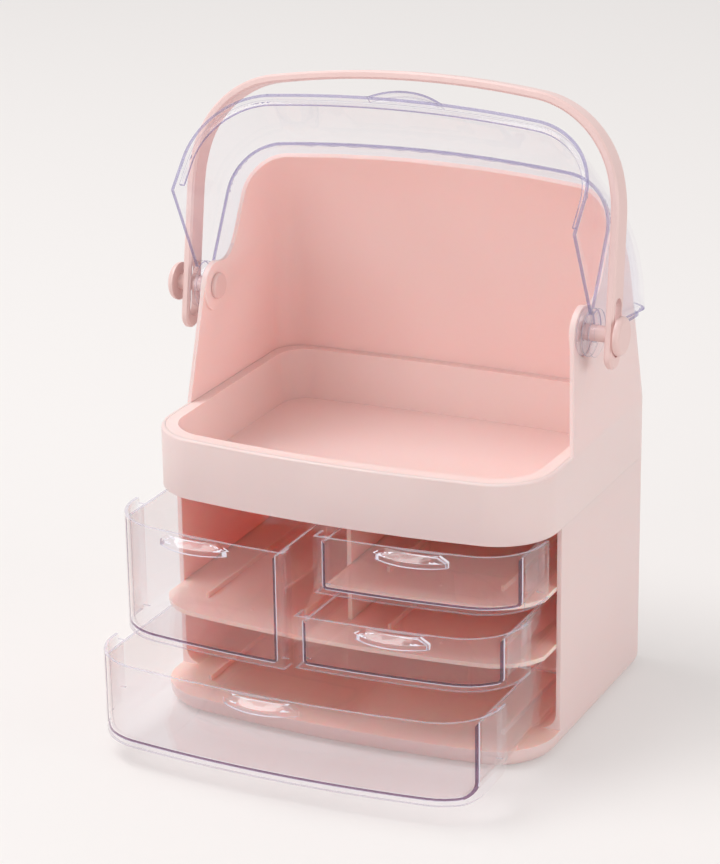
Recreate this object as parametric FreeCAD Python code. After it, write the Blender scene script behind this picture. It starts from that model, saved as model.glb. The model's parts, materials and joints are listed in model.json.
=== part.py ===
"""Makeup storage case with handle: four clear drawers under a tray, a hooded back,
a clear lid in two nested visors, and a carrying handle on slotted legs.

Frame: X to the user's right, Y to the back, Z up, millimetres.  The origin is on the
table, in the middle of what the case covers with its bottom drawer out; the pieces are
built round the pivot plane Y = 0 and moved there at the end.
The rest pose has the lid open, the handle up and every drawer pulled out a little.
"""
import os

import FreeCAD
import Part
from FreeCAD import Base
from math import atan2, cos, hypot, pi, radians, sin, sqrt, tan

V = Base.Vector

# ---------------------------------------------------------------- driving dimensions
case_width = 250.0          # over the tray band and the cabinet walls
front_reach = 93.0          # pivot plane to the middle of the bowed front
front_corner = 37.0         # plan radius of the two front corners
front_bow = 5.6             # how far the front swells beyond its corners
rear_reach = 107.0          # pivot plane to the middle of the back
rear_corner = 21.0          # plan radius of the two rear corners
rear_bow = 3.0              # how far the back swells beyond its corners
seam_height = 139.3         # where the upper housing stands on the cabinet
rim_height = 176.5          # top of the tray band
pivot_rise = 67.0           # axis of the lid and the handle above that rim

cabinet_wall = 2.8          # cabinet sides and back
housing_wall = 2.4          # tray band, wings and hood
foot_height = 1.0           # rubber pads below the cabinet
foot_diameter = 16.0
base_round = 8.0            # outer bottom edge of the cabinet
floor_level = 12.4          # top of the cabinet's raised floor
floor_thickness = 3.0
skirt_width = 14.0          # solid edge left round the hollow underside
wall_front = 44.0           # pivot plane to the front edges of the cabinet's sides
floor_corner = 10.0         # inside radius between the floor and the sides

hood_half_width = 120.0     # wings at the pivot axis
hood_reach = 97.0           # pivot axis to the back of the hood
hood_top = 93.6             # the same at its upper rim
hood_corner = 18.0          # corner between back and side, low down
hood_top_corner = 31.0      # the same at the rim
hood_bow = 4.5
hood_lean = 6.5             # degrees, lean of the back wall below the hood
hood_rim_angle = 62.0       # degrees, slope of the plane that ends the hood
hood_rim_setback = 14.0     # that plane's distance behind the pivot axis
wing_boss_radius = 15.0
wing_boss = 3.4             # thickness of the wings round the pins
wing_seat = 0.02            # the seat cut for the hubs stands this far outside the wings
wing_foot = 27.6            # the wings meet the tray rim this far before the axis

shelf_thickness = 2.5
lower_shelf_height = 64.4   # underside of the full-width shelf
upper_shelf_height = 100.4   # underside of the right-hand shelf
shelf_inset = 0.7           # the shelves' bowed fronts stand this far inside the case's front
divider_centre = -3.1
divider_thickness = 2.6
divider_reach = 58.0

tray_floor_thickness = 2.4
tray_wall = 2.0
tray_rim_width = 10.0       # flat rim of the tray at the front
tray_side_rim = 6.5         # rim left beside the wings and the back
tray_draft = 2.0            # the recess narrows by this much a side towards its floor
tray_flange = 2.5
tray_fit = 0.2              # gap round the tray in its housing

drawer_wall = 1.9
drawer_panel = 2.0
drawer_fit = 0.4            # front panels sit this far inside the case's outline
drawer_rear_gap = 0.8       # drawer boxes to the cabinet's rounded rear corners, closed
drawer_side_step = 6.0      # box walls stand in from the ends of the front panel
drawer_inner_step = 5.0
rib_gap = 0.1               # running gap between a drawer's floor and its ribs
panel_gap = 0.7             # between a front panel and the shelf above and below it
box_drop = 3.0              # box walls end this far below the top of the panel
box_lift = 2.8              # box floors run this far above the foot of the panel
wing_gap = 2.0              # behind the panels' outer ends, before the cabinet's sides
panel_corner = 14.0         # lower corners of the bottom drawer's panel
pull_width = 47.5
bottom_pull_offset = -5.0   # the bottom drawer's pull from the middle of its panel
pull_reach = 8.0            # the lip's reach in front of the panel
pull_crest_width = 37.0     # the pull is narrower and shallower along its top
pull_crest_reach = 2.4
pull_drop = 0.8             # the crest is this far below the panel's top edge
pull_slope = 3.4            # from the crest down to the lip
pull_depth = 6.8            # from the crest to the foot of the lip
pull_wall = 1.5

bottom_pull = 78.5          # how far each drawer is out at rest
left_pull = 48.0
top_right_pull = 16.5
middle_right_pull = 43.0

clear_wall = 2.2            # both visors
visor_gap = 1.0             # between the hood, the inner visor and the outer visor
inner_visor_half_width = 121.5   # inside
outer_visor_half_width = 125.4   # inside
visor_corner = 18.0         # inner visor's corner low down, inside
visor_top_corner = 33.0     # the same at the open front edge
lid_reach = 98.3            # pivot axis to the inside of the closed lid's front
lid_rear_reach = 103.1      # the same at its rear edge
lid_corner = 34.0           # that front's corners at the height of the axis, inside
lid_edge_corner = 46.0      # the same at its lower edge
inner_visor_front = 61.0    # degrees above the back, the visor's open front edge
inner_visor_tail = -4.0     # degrees, slope of its open rear edge
inner_visor_drop = 8.0      # that edge's distance below the axis
lid_travel = 133.0          # degrees, from closed to open
outer_visor_rear = 126.5    # degrees, its rear edge with the lid closed
lid_overlap = 3.0           # its lower edge, with the lid closed, below the tray rim
lid_kink = 26.0             # the corner of that edge before the axis
hub_radius = 14.0
lid_rib_height = 3.5        # from the lid's edge up to its inner rib
lid_rib_depth = 3.0
lid_rib_thickness = 1.8

pin_diameter = 9.6
bore_clearance = 0.05       # radial, visors on the pins
rivet_head_diameter = 16.0
rivet_head = 2.5
cap_diameter = 23.0
cap_gap = 3.1               # from the legs to the inner faces of the caps
cap_thickness = 3.8

handle_side_gap = 5.7       # from the lid to the inside of the legs at the axis
handle_taper = 0.4          # the legs draw in by this much at their shoulders
handle_shoulder = 61.5      # height of the straight legs above the axis
handle_top_gap = 10.5       # from the open lid's edge to the underside of the arch
handle_thickness = 5.0
handle_breadth = 15.5
handle_edge = 1.2
handle_crown_turn = 8.3     # degrees, from the top to the end of the flat crown
handle_corner_turn = 68.3   # degrees, the tight bend after it
handle_shoulder_radius = 105.0
handle_lean = 11.4          # degrees behind upright
handle_tilt = 1.6           # degrees, one leg lower than the other in its slots
handle_tilt_centre = 66.0
handle_leg_end = 23.5       # the legs end this far below the axis
slot_top = 17.5
slot_bottom = 16.5
slot_clearance = 0.35

# ---------------------------------------------------------------- derived places
half_width = case_width / 2
pivot_height = rim_height + pivot_rise
lid_edge_height = rim_height - lid_overlap
lid_half_width = outer_visor_half_width + clear_wall
lid_edge_reach = hypot(lid_reach + clear_wall, pivot_height - lid_edge_height)
handle_half_width = lid_half_width + handle_side_gap + handle_thickness
handle_rise = lid_edge_reach + handle_top_gap + handle_thickness
cap_seat = handle_half_width + cap_gap
rest_shift = (front_reach - drawer_fit + bottom_pull + pull_reach - rear_reach) / 2
front_side = front_reach - front_bow - front_corner     # where the side walls begin
inner_half = half_width - cabinet_wall
inner_rear = rear_reach - cabinet_wall
lower_shelf_top = lower_shelf_height + shelf_thickness
upper_shelf_top = upper_shelf_height + shelf_thickness
housing_floor = seam_height + 2.5
divider_left = divider_centre - divider_thickness / 2
divider_right = divider_centre + divider_thickness / 2
pivot = V(0, 0, pivot_height)
X_AXIS = V(1, 0, 0)
BIG = 600.0


# ---------------------------------------------------------------- plan outlines
def arch(half, reach, corner, bow):
    """Edges from (-half, s) over (0, reach) to (half, s): corner arc, bowed arc, corner arc."""
    base = reach - bow - corner
    centre_x = half - corner
    rise = reach - base
    radius = (centre_x ** 2 + rise ** 2 - corner ** 2) / (2 * (rise - corner))
    centre_s = reach - radius
    turn = atan2(base - centre_s, centre_x)
    mid = turn / 2
    join = V(centre_x + corner * cos(turn), base + corner * sin(turn), 0)
    knee = V(centre_x + corner * cos(mid), base + corner * sin(mid), 0)
    top = V(0, reach, 0)
    flip = lambda p: V(-p.x, p.y, 0)
    return base, [
        Part.Arc(V(-half, base, 0), flip(knee), flip(join)).toShape(),
        Part.Arc(flip(join), top, join).toShape(),
        Part.Arc(join, knee, V(half, base, 0)).toShape(),
    ]


def section(half, reach, corner, bow, start):
    """Closed face in the plane (X, s), from the line s = start out to the arch."""
    base, edges = arch(half, reach, corner, bow)
    left, right = V(-half, base, 0), V(half, base, 0)
    ends = [V(half, start, 0), V(-half, start, 0)]
    edges += [Part.makeLine(right, ends[0]), Part.makeLine(ends[0], ends[1]), Part.makeLine(ends[1], left)]
    return Part.Face(Part.Wire(edges))


def plan(inset=0.0):
    """The case seen from above, drawn in by inset, as a face at Z = 0."""
    front_base, front = arch(half_width - inset, front_reach - inset, front_corner - inset, front_bow)
    rear_base, rear = arch(half_width - inset, rear_reach - inset, max(rear_corner - inset, 1.0), rear_bow)
    for edge in front:
        edge.rotate(V(0, 0, 0), X_AXIS, 180)
    side = half_width - inset
    lines = [Part.makeLine(V(x, -front_base, 0), V(x, rear_base, 0)) for x in (-side, side)]
    return Part.Face(Part.Wire(Part.__sortEdges__(front + rear + lines)))


def slab(face, low, high):
    lifted = face.copy()
    lifted.translate(V(0, 0, low))
    return lifted.extrude(V(0, 0, high - low))


def block(x0, x1, y0, y1, z0, z1):
    return Part.makeBox(x1 - x0, y1 - y0, z1 - z0, V(x0, y0, z0))


def side_prism(points, x0, x1):
    """A prism along X over the closed outline given as (y, z) points."""
    corners = [V(x0, y, z) for y, z in points]
    return Part.Face(Part.makePolygon(corners + corners[:1])).extrude(V(x1 - x0, 0, 0))


def rod(diameter, x0, x1, y=0.0, z=pivot_height):
    return Part.makeCylinder(diameter / 2, x1 - x0, V(x0, y, z), X_AXIS)


def both_sides(shape):
    return shape.fuse(shape.mirror(V(0, 0, 0), X_AXIS))


def polar(degrees, radius):
    """Point (y, z) at an angle above +Y and a distance from the pivot axis."""
    return radius * cos(radians(degrees)), pivot_height + radius * sin(radians(degrees))


def turned(shape, degrees):
    copy = shape.copy()
    copy.rotate(pivot, X_AXIS, degrees)
    return copy


def stand(face, degrees):
    """Carries a face from the plane (X, s) to the radial plane at an angle about the pivot axis."""
    placed = face.copy()
    placed.translate(V(0, 0, pivot_height))
    placed.rotate(pivot, X_AXIS, degrees)
    return placed


# ---------------------------------------------------------------- cabinet
def make_cabinet():
    body = slab(plan(), foot_height, seam_height)
    bottom = [e for e in body.Edges if e.BoundBox.ZMax < foot_height + 0.01]
    body = body.makeFillet(base_round, bottom)
    body = body.cut(block(-BIG, BIG, -BIG, -wall_front, floor_level, BIG))
    hollow = slab(plan(cabinet_wall), floor_level, seam_height + 1).common(
        block(-BIG, BIG, -wall_front, BIG, 0, BIG))
    around = [e for e in hollow.Edges if e.BoundBox.ZMax < floor_level + 0.01
              and e.BoundBox.YMax > 0.1 - wall_front]
    body = body.cut(hollow.makeFillet(floor_corner, around))
    body = body.cut(slab(plan(skirt_width), 0, floor_level - floor_thickness))
    for x, y in foot_places():
        body = body.fuse(Part.makeCylinder(foot_diameter / 2 + 1.5, floor_level - floor_thickness - foot_height + 0.5,
                                           V(x, y, foot_height)))
    ledge = 2.4
    for height in (lower_shelf_height, upper_shelf_height):
        rail = block(inner_half - ledge, inner_half + 0.5, 4 - wall_front, rear_reach - rear_corner - 4,
                     height - 2.0, height)
        body = body.fuse(rail if height == upper_shelf_height else both_sides(rail))
    return body.fuse(rib_pair(-inner_half, inner_half, floor_level)).removeSplitter()


def foot_places():
    return [(x, y) for x in (26 - half_width, half_width - 26) for y in (26 - front_side, inner_rear - 24)]


def shelf(x0, x1, height):
    """A shelf with the case's bowed front, flush with the drawers' fronts."""
    board = slab(plan(shelf_inset), height, height + shelf_thickness)
    board = board.common(block(-BIG, BIG, -BIG, 0, 0, BIG))
    board = board.fuse(slab(plan(cabinet_wall), height, height + shelf_thickness).common(
        block(-BIG, BIG, -1, BIG, 0, BIG)))
    x0, x1 = max(x0, -inner_half), min(x1, inner_half)
    return board.common(block(x0, x1, -BIG, BIG, 0, BIG)).removeSplitter()


def rib_pair(x0, x1, top):
    """Two low guide ribs that carry a drawer's floor and a small stop between them."""
    rib_height, rib_width, rib_inset = panel_gap + box_lift - rib_gap, 1.8, 26.0
    ribs = Part.makeSphere(1.6, V((x0 + x1) / 2, -front_side - 18, top - 1.1))
    for x in (x0 + rib_inset, x1 - rib_inset):
        ribs = ribs.fuse(block(x - rib_width / 2, x + rib_width / 2, -front_side - 12, inner_rear - 14,
                               top - 0.5, top + rib_height))
    return ribs


def make_lower_shelf():
    board = shelf(-inner_half, inner_half, lower_shelf_height)
    board = board.fuse(rib_pair(-inner_half, divider_left, lower_shelf_top))
    return board.fuse(rib_pair(divider_right, inner_half, lower_shelf_top)).removeSplitter()


def make_upper_shelf():
    board = shelf(divider_right, inner_half, upper_shelf_height)
    return board.fuse(rib_pair(divider_right, inner_half, upper_shelf_top)).removeSplitter()


def make_divider():
    board = block(divider_left, divider_right, -divider_reach, inner_rear, lower_shelf_top, seam_height)
    board = board.common(slab(plan(cabinet_wall), 0, BIG))
    rail = block(divider_right - 0.5, divider_right + 2.4, 6 - wall_front, inner_rear - 30,
                 upper_shelf_height - 2.0, upper_shelf_height)
    return board.fuse(rail).removeSplitter()


def make_foot(x, y):
    pad = Part.makeCylinder(foot_diameter / 2, foot_height, V(x, y, 0))
    return pad.makeChamfer(0.3, [e for e in pad.Edges if e.BoundBox.ZMax < 0.01])


# ---------------------------------------------------------------- upper housing
def blend(ends, share):
    return ends[0] + (ends[1] - ends[0]) * share


def skin(half, reaches, corners, bow, first, last, tail=0.0):
    """Solid swept about the pivot axis whose reach and corner change on the way, with a round
    core at the axis and a straight tail that leaves its first plane along the tangent."""
    core_radius, planes = 20.0, 6
    faces = []
    for step in range(planes):
        share = step / (planes - 1)
        face = section(half, blend(reaches, share), blend(corners, share), bow, core_radius)
        faces.append(stand(face, first + (last - first) * share))
    body = Part.makeLoft([face.OuterWire for face in faces], True, False)
    if tail:
        way = V(0, sin(radians(first)), -cos(radians(first)))
        body = body.fuse(faces[0].extrude(way * tail))
    return body.fuse(rod(2 * core_radius + 2, -half, half))


def hood_solid(inset, front):
    """Wings and hood as one solid, drawn in by inset: leaning walls, then the dome."""
    low = section(half_width - inset, rear_reach - inset, rear_corner - inset, rear_bow, -front)
    low.translate(V(0, 0, rim_height))
    straight = low.extrude(V(0, 0, -3.0 - inset))
    high = stand(section(hood_half_width - inset, hood_reach - inset, hood_corner - inset,
                         hood_bow, -front), hood_lean)
    walls = Part.makeLoft([low.OuterWire, high.OuterWire], True, True)
    dome = skin(hood_half_width - inset, (hood_reach - inset, hood_top - inset),
                (hood_corner - inset, hood_top_corner - inset), hood_bow, hood_lean, hood_rim_angle)
    return straight.fuse(walls).fuse(dome)


def hood_profile():
    """Side view of what stays of the wings and the hood, as a face in the plane X = 0."""
    rim = radians(hood_rim_angle)
    normal = V(0, sin(rim), -cos(rim))                  # towards the back of the rim plane
    along = V(0, cos(rim), sin(rim))
    boss = wing_boss_radius
    low_front = V(0, -wing_foot, rim_height - 3.0)
    # the wing's front edge leaves the tray and touches the boss circle
    dy, dz = -wing_foot, rim_height - 3.0 - pivot_height
    reach = hypot(dy, dz)
    spread = pi / 2 + (pi / 2 - atan2(sqrt(reach ** 2 - boss ** 2), boss))
    away = atan2(dz, dy)
    touch_angle = away - (pi - spread)
    touch = pivot + V(0, boss * cos(touch_angle), boss * sin(touch_angle))
    # the boss ends where it meets the line that sweeps back to the rim
    corner = pivot + normal * hood_rim_setback + along * 34.0
    leave_angle = radians(112.0)
    leave = pivot + V(0, boss * cos(leave_angle - radians(40)), boss * sin(leave_angle - radians(40)))
    mid_angle = (touch_angle + 2 * pi * (touch_angle < 0) + leave_angle - radians(40)) / 2
    middle = pivot + V(0, boss * cos(mid_angle), boss * sin(mid_angle))
    top = corner + along * 90.0
    edges = [
        Part.makeLine(low_front, touch),
        Part.Arc(touch, middle, leave).toShape(),
        Part.BezierCurve(),
    ]
    sweep = Part.BezierCurve()
    sweep.setPoles([leave, leave + V(0, 10, -3), corner - along * 12, corner + along * 6])
    edges[2] = sweep.toShape()
    far_top, far_low = V(0, 260, top.z), V(0, 260, rim_height - 3.0)
    edges += [Part.makeLine(corner + along * 6, top), Part.makeLine(top, far_top),
              Part.makeLine(far_top, far_low), Part.makeLine(far_low, low_front)]
    return Part.Face(Part.Wire(edges))


def make_housing():
    band = slab(plan(), seam_height, rim_height)
    rim_edges = [e for e in band.Edges if e.BoundBox.ZMin > rim_height - 0.01]
    band = band.makeFillet(1.5, rim_edges)
    keep = hood_profile()
    keep.translate(V(-BIG, 0, 0))
    keep = keep.extrude(V(2 * BIG, 0, 0))
    hood = hood_solid(0, 60).cut(hood_solid(housing_wall, 90)).common(keep)
    boss = rod(2 * wing_boss_radius, hood_half_width - wing_boss, hood_half_width)
    seat = rod(2 * hub_radius + 1, hood_half_width + wing_seat, BIG)
    hood = hood.fuse(both_sides(boss)).cut(both_sides(seat))
    body = band.cut(slab(plan(housing_wall), housing_floor, BIG)).fuse(hood)
    lip = block(inner_half - 2.0, inner_half - 0.2, -front_side + 8, rear_reach - rear_corner - 6,
                seam_height - 4.0, seam_height + 1)
    body = body.fuse(both_sides(lip))
    return body.cut(rod(pin_diameter + 2 * bore_clearance, -BIG, BIG)).removeSplitter()


def recess(inset, level):
    """Outline of the tray's recess, drawn in by inset, at one level."""
    side = half_width - housing_wall - tray_fit - tray_side_rim - inset
    front_half = half_width - tray_rim_width - inset
    reach = front_reach - tray_rim_width - inset
    corner = front_corner - tray_rim_width - inset
    base, front = arch(front_half, reach, corner, front_bow)
    rear_base, rear = arch(side, rear_reach - housing_wall - tray_fit - tray_side_rim - inset,
                           rear_corner - housing_wall - tray_side_rim + 6 - inset, rear_bow)
    for edge in front:
        edge.rotate(V(0, 0, 0), X_AXIS, 180)
    shoulder = 8.0
    lines = []
    for sign in (-1, 1):
        points = [V(sign * front_half, -base, 0), V(sign * side, shoulder, 0), V(sign * side, rear_base, 0)]
        lines += [Part.makeLine(points[0], points[1]), Part.makeLine(points[1], points[2])]
    wire = Part.Wire(Part.__sortEdges__(front + rear + lines))
    wire.translate(V(0, 0, level))
    return wire


def make_tray():
    floor_top = housing_floor + tray_floor_thickness
    hollow = Part.makeLoft([recess(tray_draft, floor_top), recess(0, rim_height)], True, True)
    shell = Part.makeLoft([recess(tray_draft - tray_wall, housing_floor), recess(-tray_wall, rim_height)],
                          True, True)
    flange = slab(plan(housing_wall + tray_fit), rim_height - tray_flange, rim_height)
    body = shell.common(slab(plan(housing_wall + tray_fit), 0, rim_height)).fuse(flange)
    return body.cut(hollow).removeSplitter()


# ---------------------------------------------------------------- drawers
def bowed_panel(x0, x1, z0, z1):
    """Front panel that follows the case's outline, from x0 to x1."""
    outer = slab(plan(drawer_fit), z0, z1)
    inner = slab(plan(drawer_fit + drawer_panel), z0 - 1, z1 + 1)
    ring = outer.cut(inner).common(block(-BIG, BIG, -BIG, -wall_front - wing_gap, 0, BIG))
    return ring.common(block(x0, x1, -BIG, BIG, 0, BIG))


def front_line(x, inset):
    """Y of the case's front at x, for an outline drawn in by inset."""
    half, corner = half_width - inset, front_corner - inset
    reach = front_reach - inset
    centre_x = half - corner
    rise = front_bow + corner
    radius = (centre_x ** 2 + rise ** 2 - corner ** 2) / (2 * front_bow)
    if abs(x) <= centre_x + corner * cos(atan2(front_side + radius - reach, centre_x)):
        return -(reach - radius + sqrt(radius ** 2 - x ** 2))
    return -(front_side + sqrt(max(corner ** 2 - (abs(x) - centre_x) ** 2, 0.0)))


def crescent(x, y, half, bow, level):
    """Outline of a finger pull at one level: an arc in front of the panel, straight ends into it."""
    back = y + 6.0
    ends = [V(x - half, back, level), V(x - half, y, level), V(x + half, y, level), V(x + half, back, level)]
    arc = Part.Arc(ends[1], V(x, y - bow, level), ends[2]).toShape()
    return Part.Wire([Part.makeLine(ends[0], ends[1]), arc, Part.makeLine(ends[2], ends[3]),
                      Part.makeLine(ends[3], ends[0])])


def scoop(x, y, top, inset):
    """Solid of a finger pull: it slopes out from its crest to the level of its lip, then hangs straight."""
    crest = crescent(x, y, pull_crest_width / 2 - inset, pull_crest_reach - inset, top - inset)
    lip = crescent(x, y, pull_width / 2 - inset, pull_reach - inset, top - pull_slope - inset / 2)
    skirt = Part.Face(lip).extrude(V(0, 0, pull_slope + inset / 2 - pull_depth - inset))
    return Part.makeLoft([crest, lip], True, True).fuse(skirt)


def finger_pull(x, top):
    """Scooped lip in front of a panel's top edge, open below for a fingertip."""
    y = front_line(x, drawer_fit)
    shell = scoop(x, y, top - pull_drop, 0).cut(scoop(x, y, top - pull_drop, pull_wall))
    return shell.cut(slab(plan(drawer_fit + drawer_panel / 2), top - 20, top + 5)).removeSplitter()


def tub(x0, x1, back, low, high, low_corner, back_corner):
    """Long box whose two lower edges and two upright rear edges are rounded."""
    lying = block(x0, x1, -2 * BIG, back, low, high)
    lying = lying.makeFillet(low_corner, [e for e in lying.Edges if e.BoundBox.YLength > BIG
                                          and e.BoundBox.ZMax < low + 0.01])
    upright = block(x0, x1, -2 * BIG, back, low - 1, high + 1)
    upright = upright.makeFillet(back_corner, [e for e in upright.Edges if e.BoundBox.ZLength > high - low
                                               and e.BoundBox.YMin > back - 0.01])
    return lying.common(upright)


def clear_of_back(gap):
    """What stays clear of the cabinet's rounded back and its rounded floor edge by gap."""
    inside = slab(plan(cabinet_wall + gap), floor_level + gap, BIG)
    around = [e for e in inside.Edges if e.BoundBox.ZMax < floor_level + gap + 0.01]
    inside = inside.makeFillet(max(floor_corner - gap, 0.5), around)
    return inside.fuse(block(-half_width, half_width, -BIG, 0, 0, BIG))


def drawer(x0, x1, z0, z1, pull, left_outer, right_outer, round_low=False):
    """One clear drawer: bowed panel, stepped-in box, flange at the divider and finger pull."""
    panel = bowed_panel(x0, x1, z0, z1)
    if round_low:
        gate = block(x0, x1, -BIG, BIG, z0, z1)
        low = [e for e in gate.Edges if abs(e.BoundBox.ZMax - z0) < 0.01 and e.BoundBox.YLength > 1]
        panel = panel.common(gate.makeFillet(panel_corner, low))
    box_x0 = x0 + (drawer_side_step if left_outer else drawer_inner_step)
    box_x1 = x1 - (drawer_side_step if right_outer else drawer_inner_step)
    box_top, box_floor = z1 - box_drop, z0 + box_lift
    back = inner_rear - 3.0
    start = drawer_fit + drawer_panel / 2
    corner = 9.0 if round_low else 3.0
    outer = tub(box_x0, box_x1, back, box_floor, box_top, corner, 8.0).common(slab(plan(start), 0, BIG))
    hollow = tub(box_x0 + drawer_wall, box_x1 - drawer_wall, back - drawer_wall, box_floor + drawer_wall, box_top + 1,
                 corner - drawer_wall, 8.0 - drawer_wall).common(slab(plan(drawer_fit + drawer_panel), 0, BIG))
    outer = outer.common(clear_of_back(drawer_rear_gap))
    hollow = hollow.common(clear_of_back(drawer_rear_gap + drawer_wall))
    body = panel.fuse(outer.cut(hollow))
    flange_depth = 10.0
    for x, is_outer, sign in ((x0, left_outer, 1), (x1, right_outer, -1)):
        if is_outer:
            y = -wall_front - wing_gap
            web = block(min(x + sign * 0.4, x + sign * (drawer_side_step + 1)),
                        max(x + sign * 0.4, x + sign * (drawer_side_step + 1)), y - 1.8, y, z0 + 3, box_top)
            low_cut = panel_corner if round_low else 0
            web = web.common(block(-BIG, BIG, -BIG, BIG, z0 + 3 + low_cut, BIG))
            body = body.fuse(web.common(slab(plan(drawer_fit + 0.3), 0, BIG)))
        else:
            y = front_line(x, drawer_fit + 0.5)
            side = block(min(x, x + sign * drawer_panel), max(x, x + sign * drawer_panel),
                         y, y + flange_depth, z0, z1)
            web = block(min(x, x + sign * (drawer_inner_step + 1)), max(x, x + sign * (drawer_inner_step + 1)),
                        y + flange_depth - drawer_panel, y + flange_depth, box_floor, box_top)
            body = body.fuse(side).fuse(web)
    middle = (x0 + x1) / 2
    middle += 4.0 if not right_outer else (-4.0 if not left_outer else bottom_pull_offset)
    body = body.fuse(finger_pull(middle, z1)).removeSplitter()
    body.translate(V(0, -pull, 0))
    return body


def make_drawers():
    edge = half_width - drawer_fit
    top = seam_height - panel_gap
    left, right = divider_left - 0.5, divider_right + 0.5
    above_lower, above_upper = lower_shelf_top + panel_gap, upper_shelf_top + panel_gap
    return {
        "bottom_drawer": drawer(-edge, edge, floor_level + panel_gap, lower_shelf_height - panel_gap,
                                bottom_pull, True, True, round_low=True),
        "upper_left_drawer": drawer(-edge, left, above_lower, top, left_pull, True, False),
        "middle_right_drawer": drawer(right, edge, above_lower, upper_shelf_height - panel_gap,
                                      middle_right_pull, False, True),
        "top_right_drawer": drawer(right, edge, above_upper, top, top_right_pull, False, True),
    }


# ---------------------------------------------------------------- lid
def visor(half, reaches, corners, first, last, tail, keep, extra=None):
    """Clear shell kept inside a side-view outline."""
    outer, inner = (skin(half + grow, [reach + grow for reach in reaches], [corner + grow for corner in corners],
                         hood_bow, first, last, tail and tail - grow) for grow in (clear_wall, 0))
    if extra:
        outer, inner = outer.fuse(extra[0]), inner.fuse(extra[1])
    return outer.cut(inner).common(keep)


def make_inner_visor():
    rear_y, rear_z = polar(inner_visor_tail, 150)
    front_y, front_z = polar(inner_visor_front, 150)
    drop_y = inner_visor_drop * sin(radians(inner_visor_tail))
    drop_z = pivot_height - inner_visor_drop * cos(radians(inner_visor_tail))
    keep = side_prism([(0, pivot_height), (drop_y, drop_z), (rear_y, rear_z - inner_visor_drop),
                       (170, front_z), (front_y, front_z)], -BIG, BIG)
    body = visor(inner_visor_half_width, (hood_reach + visor_gap, hood_top + visor_gap),
                 (visor_corner, visor_top_corner), hood_lean, inner_visor_front + 3, 40, keep)
    hub = rod(2 * hub_radius, hood_half_width + 0.4, inner_visor_half_width + clear_wall + 0.5)
    body = body.fuse(both_sides(hub))
    return body.cut(rod(pin_diameter + 2 * bore_clearance, -BIG, BIG)).removeSplitter()


def make_outer_visor():
    """Built closed, then turned back to the open lid."""
    half = outer_visor_half_width
    reaches = [lid_rear_reach, lid_reach]
    corners = [visor_corner + 3.0, lid_corner]
    fronts = []
    for grow, below in ((clear_wall, 0), (0, 1)):
        wires = []
        for corner, level in ((lid_corner, pivot_height), (lid_edge_corner, lid_edge_height - below)):
            front = section(half + grow, lid_reach + grow, corner + grow, hood_bow, -40)
            front.rotate(V(0, 0, 0), X_AXIS, 180)
            front.translate(V(0, 0, level))
            wires.append(front.OuterWire)
        fronts.append(Part.makeLoft(wires, True, True))
    rear_y, rear_z = polar(outer_visor_rear, 260)
    keep = side_prism([(0, pivot_height), (rear_y, rear_z), (-260, rear_z), (-260, lid_edge_height),
                       (-lid_kink, lid_edge_height)], -BIG, BIG)
    body = visor(half, reaches, corners, outer_visor_rear - 2, 180, 0, keep, fronts)
    rib_z = lid_edge_height + lid_rib_height
    rib_out = section(half + 0.8, lid_reach + 0.8, lid_edge_corner + 0.8, hood_bow, 0)
    rib_in = section(half - lid_rib_depth, lid_reach - lid_rib_depth, lid_edge_corner - lid_rib_depth, hood_bow, 0)
    for face in (rib_out, rib_in):
        face.rotate(V(0, 0, 0), X_AXIS, 180)
    rib = slab(rib_out, rib_z, rib_z + lid_rib_thickness).cut(slab(rib_in, rib_z - 1, rib_z + 5))
    body = body.fuse(rib.common(block(-BIG, BIG, -BIG, -lid_kink - 6, 0, BIG)))
    half_pull, bow = pull_width / 2, 6.0
    radius = (half_pull ** 2 + bow ** 2) / (2 * bow)
    centre = V(0, radius - bow - lid_reach - clear_wall, lid_edge_height + 1.0)
    moon = Part.makeCylinder(radius, pull_depth, centre)
    moon = moon.cut(Part.makeCylinder(radius - pull_wall, pull_depth, centre - V(0, 0, pull_wall)))
    body = body.fuse(moon.common(block(-half_pull, half_pull, -BIG, -lid_reach - clear_wall / 2, 0, BIG)))
    hub = rod(2 * hub_radius, inner_visor_half_width + clear_wall + 0.9, half + clear_wall + 0.7)
    body = body.fuse(both_sides(hub))
    body = body.cut(rod(pin_diameter + 2 * bore_clearance, -BIG, BIG)).removeSplitter()
    return turned(body, -lid_travel)


# ---------------------------------------------------------------- handle
def handle_arcs():
    """Radii, turns and joints of the three tangent arcs from the top of the arch to a shoulder."""
    shoulder = V(handle_half_width - handle_taper, 0, handle_shoulder)
    lean = atan2(handle_taper, handle_shoulder)
    turns = [0.0, radians(handle_crown_turn), radians(handle_crown_turn + handle_corner_turn), pi / 2 - lean]
    across = [sin(b) - sin(a) for a, b in zip(turns, turns[1:])]
    down = [cos(a) - cos(b) for a, b in zip(turns, turns[1:])]
    dx = shoulder.x - handle_shoulder_radius * across[2]
    dz = handle_rise - shoulder.z - handle_shoulder_radius * down[2]
    share = across[0] * down[1] - across[1] * down[0]
    crown = (dx * down[1] - across[1] * dz) / share
    corner = (across[0] * dz - dx * down[0]) / share
    return [crown, corner, handle_shoulder_radius], turns


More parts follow.
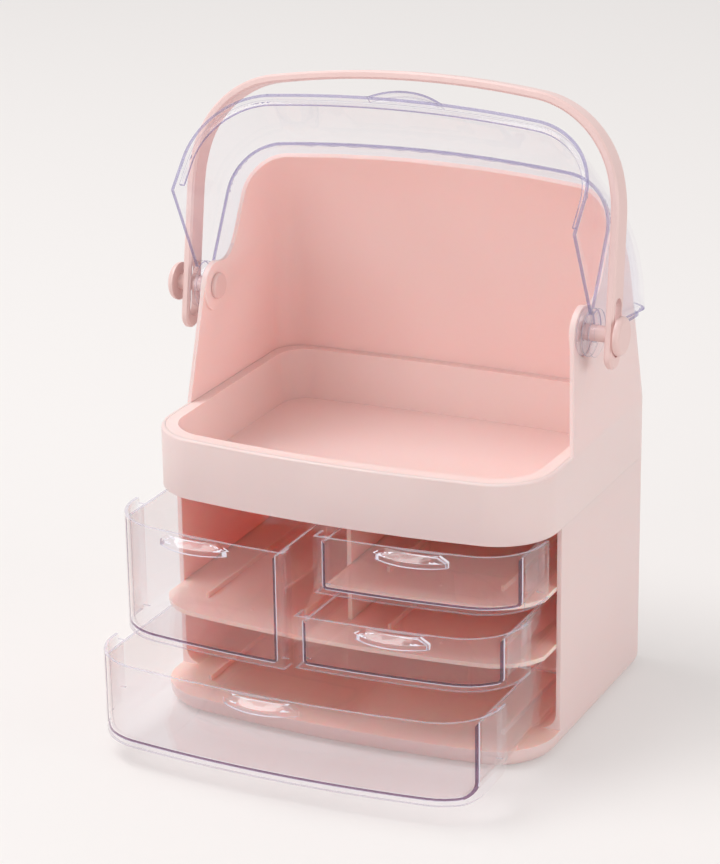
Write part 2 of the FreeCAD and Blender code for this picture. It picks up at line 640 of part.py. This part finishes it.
def handle_side(drop):
    """Edges of the right half of the arch, drawn in by drop, from the top to the foot."""
    radii, turns = handle_arcs()
    edges, point = [], V(0, 0, handle_rise - drop)
    for radius, start, end in zip(radii, turns, turns[1:]):
        radius -= drop
        centre = point - V(sin(start), 0, cos(start)) * radius
        spot = lambda angle: centre + V(sin(angle), 0, cos(angle)) * radius
        edges.append(Part.Arc(point, spot((start + end) / 2), spot(end)).toShape())
        point = spot(end)
    reach = point.z + handle_leg_end
    foot = point + V(sin(turns[-1] + pi / 2), 0, cos(turns[-1] + pi / 2)) * (reach / sin(turns[-1]))
    edges.append(Part.makeLine(point, foot))
    return edges, foot


def make_handle():
    """Flat strap bent to an arch, with a slot in each leg, placed leaning and tilted."""
    outer, outer_foot = handle_side(0)
    inner, inner_foot = handle_side(handle_thickness)
    cap_line = Part.makeLine(V(0, 0, handle_rise), V(0, 0, handle_rise - handle_thickness))
    strap = Part.Face(Part.Wire(Part.__sortEdges__(outer + inner + [Part.makeLine(outer_foot, inner_foot), cap_line])))
    strap.translate(V(0, -handle_breadth / 2, 0))
    strap = strap.extrude(V(0, handle_breadth, 0))
    strap = strap.fuse(strap.mirror(V(0, 0, 0), X_AXIS)).removeSplitter()
    low = handle_breadth / 2 - handle_leg_end
    ends = block(-BIG, BIG, -BIG, BIG, low, BIG).fuse(
        Part.makeCylinder(handle_breadth / 2, 2 * BIG, V(-BIG, 0, low), X_AXIS))
    strap = strap.common(ends)
    long_edges = [e for e in strap.Edges if e.BoundBox.YLength < 0.01 and e.Length > 8]
    strap = strap.makeChamfer(handle_edge, long_edges)
    width = pin_diameter + 2 * slot_clearance
    slot = block(-BIG, BIG, -width / 2, width / 2, width / 2 - slot_bottom, slot_top - width / 2)
    for level in (width / 2 - slot_bottom, slot_top - width / 2):
        slot = slot.fuse(Part.makeCylinder(width / 2, 2 * BIG, V(-BIG, 0, level), X_AXIS))
    strap = strap.cut(slot).removeSplitter()
    strap.rotate(V(0, 0, handle_tilt_centre), V(0, -1, 0), handle_tilt)
    strap.rotate(V(0, 0, 0), X_AXIS, -handle_lean)
    strap.translate(pivot)
    return strap


def make_pin(sign):
    """Shaft from the rivet head inside the wing to the seat of its cap."""
    wing_inside = hood_half_width - wing_boss - 0.2
    shaft = rod(pin_diameter, wing_inside - 0.5, cap_seat)
    head = rod(rivet_head_diameter, wing_inside - rivet_head, wing_inside)
    head = head.makeFillet(1.6, [e for e in head.Edges if e.BoundBox.XMax < wing_inside - rivet_head + 0.01])
    pin = shaft.fuse(head).removeSplitter()
    return pin if sign > 0 else pin.mirror(V(0, 0, 0), X_AXIS)


def make_cap(sign):
    """Mushroom cap pressed on the end of the pin, outside the handle's leg."""
    cap = rod(cap_diameter, cap_seat, cap_seat + cap_thickness)
    cap = cap.makeFillet(cap_thickness * 0.72, [e for e in cap.Edges if e.BoundBox.XMin > cap_seat + 0.1])
    return cap if sign > 0 else cap.mirror(V(0, 0, 0), X_AXIS)


# ---------------------------------------------------------------- all pieces
def build():
    nodes = {
        "cabinet": make_cabinet(),
        "lower_shelf": make_lower_shelf(),
        "upper_shelf": make_upper_shelf(),
        "centre_divider": make_divider(),
        "upper_housing": make_housing(),
        "tray_insert": make_tray(),
        "inner_visor": make_inner_visor(),
        "outer_visor": make_outer_visor(),
        "handle": make_handle(),
        "pivot_pin_left": make_pin(-1),
        "pivot_pin_right": make_pin(1),
        "handle_cap_left": make_cap(-1),
        "handle_cap_right": make_cap(1),
    }
    names = ("foot_front_left", "foot_rear_left", "foot_front_right", "foot_rear_right")
    nodes.update((name, make_foot(*place)) for name, place in zip(names, foot_places()))
    nodes.update(make_drawers())
    for shape in nodes.values():
        shape.translate(V(0, rest_shift, 0))
    return nodes


def main():
    os.makedirs("parts", exist_ok=True)
    for name, shape in build().items():
        shape.exportStep(os.path.join("parts", name + ".step"))
        box = shape.BoundBox
        print("%-22s solids %d valid %s  volume %8.1f cm3  x %.1f..%.1f y %.1f..%.1f z %.1f..%.1f" % (
            name, len(shape.Solids), shape.isValid(), shape.Volume / 1000,
            box.XMin, box.XMax, box.YMin, box.YMax, box.ZMin, box.ZMax))


main()
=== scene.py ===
import json
import math

import bpy
from mathutils import Matrix, Quaternion, Vector
from mathutils.bvhtree import BVHTree

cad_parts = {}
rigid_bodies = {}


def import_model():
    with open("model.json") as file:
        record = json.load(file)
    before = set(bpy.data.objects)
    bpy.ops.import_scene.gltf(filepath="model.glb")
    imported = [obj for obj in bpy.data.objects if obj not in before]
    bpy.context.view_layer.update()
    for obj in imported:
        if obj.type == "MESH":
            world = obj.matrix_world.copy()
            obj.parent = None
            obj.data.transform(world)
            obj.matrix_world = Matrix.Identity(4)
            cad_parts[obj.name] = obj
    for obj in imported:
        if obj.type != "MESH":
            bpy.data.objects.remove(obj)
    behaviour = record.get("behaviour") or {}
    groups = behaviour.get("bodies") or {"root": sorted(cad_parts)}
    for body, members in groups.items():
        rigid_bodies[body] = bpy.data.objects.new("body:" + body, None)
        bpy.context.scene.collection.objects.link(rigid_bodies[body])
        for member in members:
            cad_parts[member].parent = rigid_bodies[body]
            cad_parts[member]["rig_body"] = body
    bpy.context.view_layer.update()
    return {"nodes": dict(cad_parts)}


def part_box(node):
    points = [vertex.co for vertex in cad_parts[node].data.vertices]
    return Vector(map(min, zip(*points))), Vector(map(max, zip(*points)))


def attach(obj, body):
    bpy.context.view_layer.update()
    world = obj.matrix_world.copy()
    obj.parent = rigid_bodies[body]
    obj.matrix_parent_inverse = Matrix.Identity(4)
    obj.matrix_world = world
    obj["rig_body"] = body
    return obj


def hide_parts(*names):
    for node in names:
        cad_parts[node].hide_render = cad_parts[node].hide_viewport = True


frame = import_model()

nodes = frame["nodes"]
MM = 0.001

# material slots of the clear pieces, in the order in which eased() fills them
SHEET, RIM, EDGE, PULL, PULL_EDGE = range(5)
WIDEST_RIM = 2.6 * MM  # a little more than the thickest clear sheet
DRAWER_PULL_DEPTH = 9 * MM  # a drawer's pull ends this far below the top of its panel
PANEL_MARGIN = 0.1 * MM  # what stands this far in front of a panel is its pull


# ---------------------------------------------------------------- small helpers


def linear(hex_colour):
    """An sRGB hex colour as the linear colour that the shaders want."""
    parts = [int(hex_colour[i : i + 2], 16) / 255 for i in (1, 3, 5)]
    return [c / 12.92 if c <= 0.04045 else ((c + 0.055) / 1.055) ** 2.4 for c in parts] + [1.0]


def add_node(material, kind, settings=None, values=None, links=None):
    """Adds one node: settings are its properties, values its sockets' constants and links the
    outputs that its sockets take their values from."""
    node = material.node_tree.nodes.new(kind)
    for name, value in (settings or {}).items():
        setattr(node, name, value)
    for name, value in (values or {}).items():
        node.inputs[name].default_value = value
    for name, source in (links or {}).items():
        material.node_tree.links.new(source, node.inputs[name])
    return node


def new_material(name):
    """A material whose node tree is still empty."""
    material = bpy.data.materials.new(name)
    material.use_nodes = True
    material.node_tree.nodes.clear()
    return material


def select_only(piece):
    """Makes one object the active and only selected one."""
    bpy.ops.object.select_all(action="DESELECT")
    bpy.context.view_layer.objects.active = piece
    piece.select_set(True)


# ---------------------------------------------------------------- camera

camera_data = bpy.data.cameras.new("studio_camera")
camera_data.lens = 123.8
camera_data.sensor_fit = "VERTICAL"
camera_data.sensor_height = 36
camera_data.clip_end = 30
camera = bpy.data.objects.new("studio_camera", camera_data)
bpy.context.scene.collection.objects.link(camera)
stand_at = Vector((0.7007, -1.47875, 0.7615))
look_at = Vector((-0.0897, 0.17655, 0.1071))
roll = math.radians(-0.85)
turn = (look_at - stand_at).to_track_quat("-Z", "Y") @ Quaternion((0, 0, 1), roll)
camera.matrix_world = Matrix.Translation(stand_at) @ turn.to_matrix().to_4x4()
bpy.context.scene.camera = camera

# ---------------------------------------------------------------- materials


def satin_moulding(name, colour, shade, roughness, waxy=0.0):
    """Polypropylene or rubber moulded in a spark-eroded tool: satin, with a fine even grain and a
    colour that drifts very little from place to place. A thin wall of polypropylene lets red light
    seep through, so that it looks soft and waxy and glows where it closes a space in."""
    material = new_material(name)
    place = add_node(material, "ShaderNodeTexCoord")
    # the pigment drifts over about 90 mm
    cloud = add_node(
        material,
        "ShaderNodeTexNoise",
        None,
        {"Scale": 11.0, "Detail": 1.0},
        {"Vector": place.outputs["Object"]},
    )
    tint = add_node(
        material,
        "ShaderNodeMix",
        {"data_type": "RGBA"},
        {6: linear(colour), 7: linear(shade)},
        {0: cloud.outputs["Fac"]},
    )
    # erosion grain of 0.15 mm, drawn at 0.7 mm so that it shows at all
    grain = add_node(
        material,
        "ShaderNodeTexNoise",
        None,
        {"Scale": 1400.0, "Detail": 2.0},
        {"Vector": place.outputs["Object"]},
    )
    bump = add_node(
        material,
        "ShaderNodeBump",
        None,
        {"Strength": 0.12, "Distance": 0.0001},
        {"Height": grain.outputs["Fac"]},
    )
    # gloss drifts with the pigment, a little duller where the colour is the shade
    sheen = add_node(
        material,
        "ShaderNodeMapRange",
        None,
        {"From Min": 0.3, "From Max": 0.7, "To Min": roughness - 0.04, "To Max": roughness + 0.04},
        {"Value": cloud.outputs["Fac"]},
    )
    skin = add_node(
        material,
        "ShaderNodeBsdfPrincipled",
        None,
        {
            "IOR": 1.49,
            "Subsurface Weight": waxy,
            "Subsurface Scale": 5.0 * MM,
            "Subsurface Radius": (1.0, 0.32, 0.24),
        },
        {
            "Base Color": tint.outputs[2],
            "Roughness": sheen.outputs["Result"],
            "Normal": bump.outputs["Normal"],
        },
    )
    add_node(
        material, "ShaderNodeOutputMaterial", None, None, {"Surface": skin.outputs["BSDF"]}
    )
    return material


def clear_polystyrene(name, through, veil, most):
    """Clear polystyrene from a mirror-polished tool: almost unseen flat on, white where it mirrors
    the room at a glancing angle, and a little violet where the eye looks along the sheet.
    The mirrored share runs from veil, flat on, to most, edge on."""
    material = new_material(name)
    tilt = add_node(material, "ShaderNodeLayerWeight", None, {"Blend": 0.5})
    # a clear sheet's mirroring rises with the fifth power of its tilt
    rise = add_node(
        material, "ShaderNodeMath", {"operation": "POWER"}, {1: 5.0}, {0: tilt.outputs["Facing"]}
    )
    mirror = add_node(
        material,
        "ShaderNodeMapRange",
        None,
        {"To Min": veil, "To Max": most},
        {"Value": rise.outputs[0]},
    )
    # its own colour comes sooner, because the way through it grows longer
    slope = add_node(
        material, "ShaderNodeMath", {"operation": "POWER"}, {1: 3.0}, {0: tilt.outputs["Facing"]}
    )
    tint = add_node(
        material,
        "ShaderNodeMix",
        {"data_type": "RGBA"},
        {6: linear("#fefeff"), 7: linear(through)},
        {0: slope.outputs[0]},
    )
    open_air = add_node(
        material, "ShaderNodeBsdfTransparent", None, None, {"Color": tint.outputs[2]}
    )
    shine = add_node(
        material, "ShaderNodeBsdfGlossy", None, {"Roughness": 0.04, "Color": linear("#ffffff")}
    )
    both = add_node(
        material,
        "ShaderNodeMixShader",
        None,
        None,
        {0: mirror.outputs["Result"], 1: open_air.outputs[0], 2: shine.outputs[0]},
    )
    add_node(material, "ShaderNodeOutputMaterial", None, None, {"Surface": both.outputs[0]})
    return material


def polystyrene_edge(name, through, glint_share):
    """The cut and rounded edges of the same sheet, painted as the light that runs inside it and
    comes out there: a violet-grey line of painted shade with a white painted glint. The last
    argument is the glint's share."""
    material = new_material(name)
    dim = add_node(material, "ShaderNodeBsdfTransparent", None, {"Color": linear(through)})
    glint = add_node(
        material,
        "ShaderNodeBsdfPrincipled",
        None,
        {"Base Color": linear("#f4f2fb"), "Roughness": 0.12, "IOR": 1.58},
    )
    both = add_node(
        material,
        "ShaderNodeMixShader",
        None,
        {0: glint_share},
        {1: dim.outputs[0], 2: glint.outputs[0]},
    )
    add_node(material, "ShaderNodeOutputMaterial", None, None, {"Surface": both.outputs[0]})
    return material


# the outside of the case, and a paler copy of it for the inside of the hood and the tray, which
# paints the light that bounces and seeps in there
blush = satin_moulding("blush_polypropylene", "#e9d3d0", "#e6cecb", 0.42, 0.2)
painted_lit_blush = satin_moulding("light_blush_polypropylene", "#f6dcd8", "#f3d5d0", 0.45, 0.3)
# the compartments: a brighter, warmer copy that paints the glow of light passing from wall to
# wall, on top of what the subsurface lets through
painted_glow_blush = satin_moulding("deep_blush_polypropylene", "#fdd8ce", "#fbd2c7", 0.5, 1.0)
# the handle, its caps and its pins, a thicker moulding with more gloss
rose = satin_moulding("rose_polypropylene", "#e6c7c3", "#e3c2bd", 0.36)
# soft rubber for the pads, moulded matt, so that it shows no gloss at all
pads = satin_moulding("pale_rubber", "#d9d2cf", "#d2cac6", 0.8)
# the clear sheets: drawers, lid and the finger pulls on both
clear = clear_polystyrene("drawer_polystyrene", "#f6f0ee", 0.04, 0.8)
lid_clear = clear_polystyrene("lid_polystyrene", "#fdfcfd", 0.015, 0.45)
pull_clear = clear_polystyrene("finger_pull_polystyrene", "#e2dfe8", 0.03, 0.25)
# their edges, lines of painted shade and painted glint: whitest round the pulls, greyest round the
# lid
pull_edge = polystyrene_edge("finger_pull_edge_polystyrene", "#e8e6ee", 0.85)
edge = polystyrene_edge("eased_edge_polystyrene", "#c9c4d8", 0.4)
drawer_rim = polystyrene_edge("drawer_rim_polystyrene", "#e9e7ef", 0.3)
lid_rim = polystyrene_edge("lid_rim_polystyrene", "#b5afd0", 0.15)
# the box walls' ends behind the front panels, drawn as a dark line of painted shade with a white
# line of painted glint beside it
painted_shade_line = polystyrene_edge("wall_end_polystyrene", "#c1abc0", 0.05)
painted_glint_line = polystyrene_edge("wall_glint_polystyrene", "#f6f5fa", 0.6)

finish = {name: blush for name in nodes}
# shelves and divider take the glowing copy all over, its painted glow included
finish.update({name: painted_glow_blush for name in ("lower_shelf", "upper_shelf", "centre_divider")})
# the whole tray takes the paler copy, whose extra brightness is painted light
finish["tray_insert"] = painted_lit_blush
finish.update({name: clear for name in nodes if name.endswith("drawer")})
finish.update({name: lid_clear for name in nodes if name.endswith("visor")})
finish.update({name: rose for name in nodes if name.startswith(("handle", "pivot"))})
finish.update({name: pads for name in nodes if name.startswith("foot")})

# ---------------------------------------------------------------- edges of the moulded pieces


def mark_rims(mesh):
    """Gives the narrow faces between two sharp edges, the cut edges of a sheet, the rim's slot,
    with its painted shade and glint.
    """
    sharpest_bend = math.radians(50)
    normals = {}
    for face in mesh.polygons:
        for key in face.edge_keys:
            normals.setdefault(key, []).append(face.normal.copy())
    places = [v.co for v in mesh.vertices]
    for face in mesh.polygons:
        sharp = 0.0
        for key in face.edge_keys:
            pair = normals[key]
            if len(pair) == 2 and pair[0].angle(pair[1], 0.0) > sharpest_bend:
                sharp += (places[key[0]] - places[key[1]]).length
        if sharp > 0 and 2 * face.area / sharp < WIDEST_RIM:
            face.material_index = RIM


def front_finder(name):
    """Tells how far forward a drawer's panel stands at a width and a height."""
    mesh = nodes[name].data
    tree = BVHTree.FromPolygons(
        [v.co.copy() for v in mesh.vertices], [tuple(f.vertices) for f in mesh.polygons]
    )
    well_in_front, backwards = -1.0, Vector((0, 1, 0))

    def front(x, z):
        return tree.ray_cast(Vector((x, well_in_front, z)), backwards)[0]

    return front


def mark_pull(mesh, is_pull, bright):
    """Gives the finger pull its own clear material, and its edges one with more painted glint if
    bright.
    """
    for face in mesh.polygons:
        if is_pull(face.center):
            if face.material_index == SHEET:
                face.material_index = PULL
            elif bright:
                face.material_index = PULL_EDGE


def eased(name, radius, flat=1.5, tones=(), pull=None):
    """A copy of a node, merged, with its sharp edges rounded as a moulding's are. Faces that turn
    less than flat degrees are joined first. Tones are further materials, each with a test that
    takes a face's centre and normal. Pull tells which places are on a finger pull."""
    source = nodes[name]
    see_through = finish[name] in (clear, lid_clear)
    piece = bpy.data.objects.new("moulded_" + name, source.data.copy())
    bpy.context.scene.collection.objects.link(piece)
    select_only(piece)
    piece.data.materials.clear()
    piece.data.materials.append(finish[name])
    bpy.ops.mesh.customdata_custom_splitnormals_clear()
    bpy.ops.object.mode_set(mode="EDIT")
    bpy.ops.mesh.select_all(action="SELECT")
    bpy.ops.mesh.remove_doubles(threshold=0.004 * MM)
    bpy.ops.mesh.dissolve_limited(angle_limit=math.radians(flat))
    bpy.ops.object.mode_set(mode="OBJECT")
    if see_through:
        rim = lid_rim if finish[name] is lid_clear else drawer_rim
        for extra in (rim, edge, pull_clear, pull_edge):
            piece.data.materials.append(extra)
        mark_rims(piece.data)
    for slot, (tone, chosen) in enumerate(tones, 1):
        piece.data.materials.append(tone)
        for face in piece.data.polygons:
            if chosen(face.center, face.normal):
                face.material_index = slot
    bevel = piece.modifiers.new("eased_edges", "BEVEL")
    bevel.width = radius
    bevel.segments = 2
    bevel.limit_method = "ANGLE"
    bevel.angle_limit = math.radians(28)
    # on clear pieces the rounded edges take the edge material's painted shade and glint
    bevel.material = EDGE if see_through else -1
    bpy.ops.object.modifier_apply(modifier=bevel.name)
    if pull:
        mark_pull(piece.data, pull, name.endswith("drawer"))
    bpy.ops.object.shade_smooth_by_angle(angle=math.radians(35))
    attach(piece, source["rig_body"])
    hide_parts(name)


for node in nodes.values():
    node.material_slots[0].material = finish[node.name]


def drawer_pull(name):
    """Tells which places are on a drawer's finger pull: high up and in front of the panel."""
    front = front_finder(name)
    low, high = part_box(name)

    def is_pull(place):
        spot = front(place.x, (low[2] + high[2]) / 2)
        if spot is None or place.z < high[2] - DRAWER_PULL_DEPTH:
            return False
        return place.y < spot.y - PANEL_MARGIN

    return is_pull


for name in ("bottom_drawer", "upper_left_drawer", "middle_right_drawer", "top_right_drawer"):
    eased(name, 0.35 * MM, pull=drawer_pull(name))
eased("inner_visor", 0.3 * MM, flat=0.3)

pivot = Vector((0, 36.05 * MM, 243.5 * MM))
shut = Quaternion((1, 0, 0), math.radians(133))
lid_front = -100.6 * MM  # the shut lid's outer face, from the pivot, and a little more
pull_half_width = 24.5 * MM


def lid_pull(place):
    """The same for the lid's pull, looked up with the lid shut."""
    return abs(place.x) < pull_half_width and (shut @ (place - pivot)).y < lid_front


eased("outer_visor", 0.3 * MM, flat=0.3, pull=lid_pull)


def in_compartments(centre, normal):
    """Tells the cabinet's inner faces, which take the painted glow: within its walls, and turned
    to its middle, up or down.
    """
    within = abs(centre.x) < 122.4 * MM and centre.y < 140.4 * MM
    level = 12.2 * MM < centre.z < 139 * MM
    return within and level and centre.x * normal.x + centre.y * normal.y < MM


def over_compartments(centre, normal):
    """Tells the underside of the housing, which roofs the upper drawers and takes the painted
    glow.
    """
    return centre.z < 160 * MM and normal.z < -0.5


hood_middle = Vector((0, 20 * MM, 220 * MM))


def in_hood(centre, normal):
    """Tells the inner faces of the hood and the wings, above the tray's rim, which take the paler
    copy with its painted light.
    """
    return centre.z > 177 * MM and normal.dot(hood_middle - centre) > 0


# inside the compartments and the hood, the copies with painted glow and painted light
eased("cabinet", 0.5 * MM, tones=[(painted_glow_blush, in_compartments)])
eased("upper_housing", 0.4 * MM, tones=[(painted_lit_blush, in_hood), (painted_glow_blush, over_compartments)])

# ---------------------------------------------------------------- painted shade and glint at the ends of the box walls

# the white line is painted glint, the dark line painted shade
GLINT_WIDTH = 0.5 * MM  # of the white line, outside the dark one
LINE_WIDTH = 1.3 * MM  # of the dark line
LINE_THICKNESS = 0.3 * MM
LINE_DEPTH = 0.9 * MM  # behind the front of the panel, in the middle of its wall
LINE_STEP = 5 * MM  # the lines bend with the panel at cuts this far apart
# the panel's front is measured above its rounded foot and below its pull
ABOVE_FOOT = 4 * MM
BELOW_TOP = 12 * MM


def wall_end(name, left, right, foot, top, corner):
    """Paints the ends of a drawer's side walls and floor as they are seen through its front panel:
    a dark line of painted shade with a white line of painted glint beside it."""
    front = front_finder(name)
    bpy.ops.object.select_all(action="DESELECT")
    bpy.ops.mesh.primitive_plane_add(
        size=1,
        location=((left + right) / 2, 0, (foot + top) / 2),
        rotation=(math.radians(90), 0, 0),
    )
    line = bpy.context.object
    line.name = name + "_wall_end"
    line.scale = (right - left, top - foot, 1)
    bpy.ops.object.transform_apply(location=True, rotation=True, scale=True)

    # round the two lower corners
    bpy.ops.object.mode_set(mode="EDIT")
    bpy.ops.mesh.select_mode(type="VERT")
    bpy.ops.mesh.select_all(action="DESELECT")
    bpy.ops.object.mode_set(mode="OBJECT")
    for point in line.data.vertices:
        point.select = point.co.z < foot + MM
    bpy.ops.object.mode_set(mode="EDIT")
    bpy.ops.mesh.bevel(offset=corner, segments=6, affect="VERTICES")

    # two bands round the sheet, and nothing in the middle
    bpy.ops.mesh.select_mode(type="FACE")
    bpy.ops.mesh.select_all(action="SELECT")
    bpy.ops.mesh.inset(thickness=GLINT_WIDTH)
    bpy.ops.mesh.inset(thickness=LINE_WIDTH)
    bpy.ops.mesh.delete(type="FACE")

    steps = int((right - left) / LINE_STEP)
    for step in range(1, steps):
        bpy.ops.mesh.select_all(action="SELECT")
        bpy.ops.mesh.bisect(
            plane_co=(left + (right - left) * step / steps, 0, 0), plane_no=(1, 0, 0)
        )
    bpy.ops.mesh.select_all(action="DESELECT")

    # the box has no lid, so both bands go along the top, where they are 1.8 mm wide together
    bpy.ops.object.mode_set(mode="OBJECT")
    for face in line.data.polygons:
        face.select = face.center.z > top - 2.0 * MM
    bpy.ops.object.mode_set(mode="EDIT")
    bpy.ops.mesh.delete(type="FACE")
    bpy.ops.object.mode_set(mode="OBJECT")

    # bend it with the panel
    for point in line.data.vertices:
        height = min(max(point.co.z, foot + ABOVE_FOOT), top - BELOW_TOP)
        point.co.y = front(point.co.x, height).y + LINE_DEPTH
    # the dark line is painted shade, the white outer band painted glint
    line.data.materials.append(painted_shade_line)
    line.data.materials.append(painted_glint_line)
    for face in line.data.polygons:
        inwards = min(face.center.x - left, right - face.center.x, face.center.z - foot)
        face.material_index = 1 if inwards < GLINT_WIDTH + 0.05 * MM else 0
    thicken = line.modifiers.new("thickness", "SOLIDIFY")
    thicken.thickness = LINE_THICKNESS
    bpy.ops.object.modifier_apply(modifier=thicken.name)
    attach(line, nodes[name]["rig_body"])


# left, right, foot and top of each box behind its panel, and its lower corners' radius, in mm
for name, left, right, foot, top, corner in (
    ("bottom_drawer", -118.6, 118.6, 15.9, 61.5, 9.0),
    ("upper_left_drawer", -118.6, -9.9, 70.4, 136.4, 3.0),
    ("middle_right_drawer", 3.7, 118.6, 70.4, 97.5, 3.0),
    ("top_right_drawer", 3.7, 118.6, 106.4, 136.4, 3.0),
):
    wall_end(name, left * MM, right * MM, foot * MM, top * MM, corner * MM)

# ---------------------------------------------------------------- studio


def seen_by_eye(material):
    """1 for a ray from the camera, from a gloss or through clear plastic, 0 for one that lights
    things."""
    path = add_node(material, "ShaderNodeLightPath")
    first = add_node(
        material,
        "ShaderNodeMath",
        {"operation": "MAXIMUM"},
        None,
        {0: path.outputs["Is Camera Ray"], 1: path.outputs["Is Glossy Ray"]},
    )
    return add_node(
        material,
        "ShaderNodeMath",
        {"operation": "MAXIMUM"},
        None,
        {0: first.outputs[0], 1: path.outputs["Is Transmission Ray"]},
    ).outputs[0]


bpy.ops.object.select_all(action="DESELECT")
bpy.ops.mesh.primitive_plane_add(size=14, location=(0, 0, 0))
floor = bpy.context.object
floor.name = "studio_floor"
# matt paper, lifted for the eye alone so that it stays pale away from the lamps
paper = new_material("studio_paper")
lit = add_node(paper, "ShaderNodeBsdfDiffuse", None, {"Color": linear("#ece7e5")})
lift = add_node(
    paper, "ShaderNodeEmission", None, {"Color": linear("#fdfcfb"), "Strength": 1.0}
)
share = add_node(
    paper, "ShaderNodeMath", {"operation": "MULTIPLY"}, {1: 0.32}, {0: seen_by_eye(paper)}
)
mixed = add_node(
    paper,
    "ShaderNodeMixShader",
    None,
    None,
    {0: share.outputs[0], 1: lit.outputs[0], 2: lift.outputs[0]},
)
add_node(paper, "ShaderNodeOutputMaterial", None, None, {"Surface": mixed.outputs[0]})
floor.data.materials.append(paper)

# dim air as a light, near white where it is seen
world = bpy.data.worlds.new("studio_air")
bpy.context.scene.world = world
world.use_nodes = True
world.node_tree.nodes.clear()
strength = add_node(
    world,
    "ShaderNodeMapRange",
    None,
    {"To Min": 0.58, "To Max": 0.98},
    {"Value": seen_by_eye(world)},
)
air = add_node(
    world,
    "ShaderNodeBackground",
    None,
    {"Color": linear("#fbfaf9")},
    {"Strength": strength.outputs["Result"]},
)
add_node(world, "ShaderNodeOutputWorld", None, None, {"Surface": air.outputs[0]})


def soft_lamp(name, place, aim, size, power):
    """A flat lamp in metres and watts, turned to the spot that it aims at."""
    data = bpy.data.lights.new(name, "AREA")
    data.shape = "RECTANGLE"
    data.size, data.size_y = size
    data.energy = power
    lamp = bpy.data.objects.new(name, data)
    bpy.context.scene.collection.objects.link(lamp)
    lamp.location = place
    lamp.rotation_euler = (Vector(aim) - Vector(place)).to_track_quat("-Z", "Y").to_euler()


soft_lamp("soft_box_above", (-1.5, -0.45, 3.4), (0, 0, 0.15), (2.2, 2.0), 76)
soft_lamp("soft_box_front", (-1.6, -3.7, 1.1), (0, 0, 0.1), (2.4, 1.4), 29)
soft_lamp("soft_box_right", (3.0, -0.3, 0.7), (0, 0, 0.12), (1.6, 1.0), 23)

scene = bpy.context.scene
scene.view_settings.view_transform = "Standard"
# the eye looks through up to a dozen clear sheets
scene.cycles.max_bounces = 32
scene.cycles.diffuse_bounces = 10
scene.cycles.glossy_bounces = 8
scene.cycles.transmission_bounces = 28
scene.cycles.transparent_max_bounces = 32
